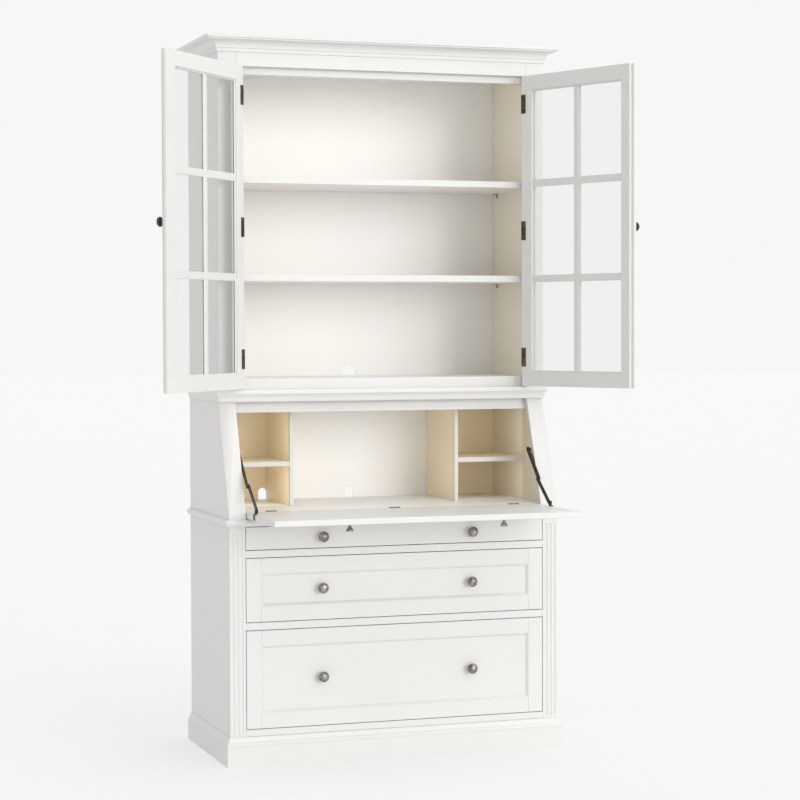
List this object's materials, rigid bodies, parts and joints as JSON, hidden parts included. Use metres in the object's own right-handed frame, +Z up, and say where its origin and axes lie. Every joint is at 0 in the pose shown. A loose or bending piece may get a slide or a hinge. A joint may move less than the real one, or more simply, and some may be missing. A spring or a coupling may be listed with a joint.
{
  "type": "slant-front secretary desk with glazed hutch",
  "caption": "White painted drop-lid writing desk with inset drawers below, open pigeonholes behind the lid and a glazed double-door bookcase hutch on top.",
  "frame": {"origin": "on the floor at the middle of the case footprint, level with the underside of the plinth and of the centre foot", "axes": "+X to the right of a person facing the desk, front towards -Y, +Z up"},
  "size_m": [1.5095, 0.8535, 2.266],
  "materials": {
    "white_paint": "satin white paint over wood",
    "cream_paint": "satin cream paint over wood",
    "bare_wood": "clear sealed softwood",
    "glass": "clear window glass",
    "pewter_knob": "antique pewter",
    "bronze_knob": "dark bronze",
    "bronze_hinge": "dark bronze",
    "bronze_stay": "dark bronze",
    "steel_fitting": "dull steel"
  },
  "bodies": {
    "case": {"side_panel_left": "white_paint", "side_panel_right": "white_paint", "pilaster_left": "white_paint", "pilaster_right": "white_paint", "drawer_rails": "white_paint", "drawer_runners": "bare_wood", "base_floor": "cream_paint", "base_back": "cream_paint", "plinth": "white_paint", "plinth_cap": "white_paint", "waist_moulding": "white_paint", "desk_surface": "white_paint", "slant_stile_left": "white_paint", "slant_stile_right": "white_paint", "lid_head_rail": "white_paint", "desk_top": "white_paint", "desk_back": "cream_paint", "partitions": "cream_paint", "pigeonhole_shelves": "cream_paint", "hutch_side_left": "white_paint", "hutch_side_right": "white_paint", "hutch_stiles": "white_paint", "hutch_top_rail": "white_paint", "hutch_floor": "cream_paint", "hutch_ceiling": "cream_paint", "hutch_back": "cream_paint", "door_stop": "white_paint", "door_catches": "steel_fitting", "crown": "white_paint", "shelf_lower": "cream_paint", "shelf_upper": "cream_paint", "shelf_pins": "steel_fitting", "hinge_frame_leaves": "bronze_hinge", "lid_hinge_desk_leaves": "bronze_hinge", "stay_brackets": "bronze_stay"},
    "door_left": {"door_left_frame": "white_paint", "door_left_glass": "glass", "door_left_knob": "bronze_knob", "door_left_leaves": "bronze_hinge"},
    "door_right": {"door_right_frame": "white_paint", "door_right_glass": "glass", "door_right_knob": "bronze_knob", "door_right_leaves": "bronze_hinge"},
    "lid": {"lid_panel": "white_paint", "lid_knobs": "pewter_knob", "lid_hinge_leaves": "bronze_hinge", "lid_stay_anchors": "bronze_stay"},
    "stay_upper_left": {"stay_upper_left": "bronze_stay"},
    "stay_upper_right": {"stay_upper_right": "bronze_stay"},
    "stay_lower_left": {"stay_lower_left": "bronze_stay"},
    "stay_lower_right": {"stay_lower_right": "bronze_stay"},
    "drawer_top": {"drawer_top_front": "white_paint", "drawer_top_box": "bare_wood", "drawer_top_knobs": "pewter_knob"},
    "drawer_medium": {"drawer_medium_front": "white_paint", "drawer_medium_box": "bare_wood", "drawer_medium_knobs": "pewter_knob"},
    "drawer_large": {"drawer_large_front": "white_paint", "drawer_large_box": "bare_wood", "drawer_large_knobs": "pewter_knob"}
  },
  "joints": [
    {"name": "door_left_swing", "type": "hinge", "parent": "case", "child": "door_left", "pos_m": [-0.4855, -0.1377, 1.67], "axis": [0, 0, -1], "range_deg": [-131.8, 18.2]},
    {"name": "door_right_swing", "type": "hinge", "parent": "case", "child": "door_right", "pos_m": [0.4855, -0.1377, 1.67], "axis": [0, 0, 1], "range_deg": [-113, 37]},
    {"name": "lid_fold", "type": "hinge", "parent": "case", "child": "lid", "pos_m": [0, -0.2248, 0.786], "axis": [-1, 0, 0], "range_deg": [0, 109.72]},
    {"name": "stay_upper_left_turn", "type": "hinge", "parent": "case", "child": "stay_upper_left", "pos_m": [-0.4862, -0.148, 0.958], "axis": [-1, 0, 0], "range_deg": [-90.41, 0]},
    {"name": "stay_lower_left_turn", "type": "hinge", "parent": "lid", "child": "stay_lower_left", "pos_m": [-0.4813, -0.34, 0.797], "axis": [-1, 0, 0], "range_deg": [-61.36, 0]},
    {"name": "stay_upper_right_turn", "type": "hinge", "parent": "case", "child": "stay_upper_right", "pos_m": [0.4862, -0.148, 0.958], "axis": [-1, 0, 0], "range_deg": [-90.41, 0]},
    {"name": "stay_lower_right_turn", "type": "hinge", "parent": "lid", "child": "stay_lower_right", "pos_m": [0.4813, -0.34, 0.797], "axis": [-1, 0, 0], "range_deg": [-61.36, 0]},
    {"name": "drawer_top_slide", "type": "slide", "parent": "case", "child": "drawer_top", "axis": [0, -1, 0], "range_m": [0, 0.36]},
    {"name": "drawer_medium_slide", "type": "slide", "parent": "case", "child": "drawer_medium", "axis": [0, -1, 0], "range_m": [0, 0.38]},
    {"name": "drawer_large_slide", "type": "slide", "parent": "case", "child": "drawer_large", "axis": [0, -1, 0], "range_m": [0, 0.38]}
  ],
  "couplings": [
    {"joint": "stay_upper_left_turn", "follows": "lid_fold", "ratio": -0.8235},
    {"joint": "stay_lower_left_turn", "follows": "lid_fold", "ratio": -0.5588},
    {"joint": "stay_upper_right_turn", "follows": "lid_fold", "ratio": -0.8235},
    {"joint": "stay_lower_right_turn", "follows": "lid_fold", "ratio": -0.5588}
  ]
}
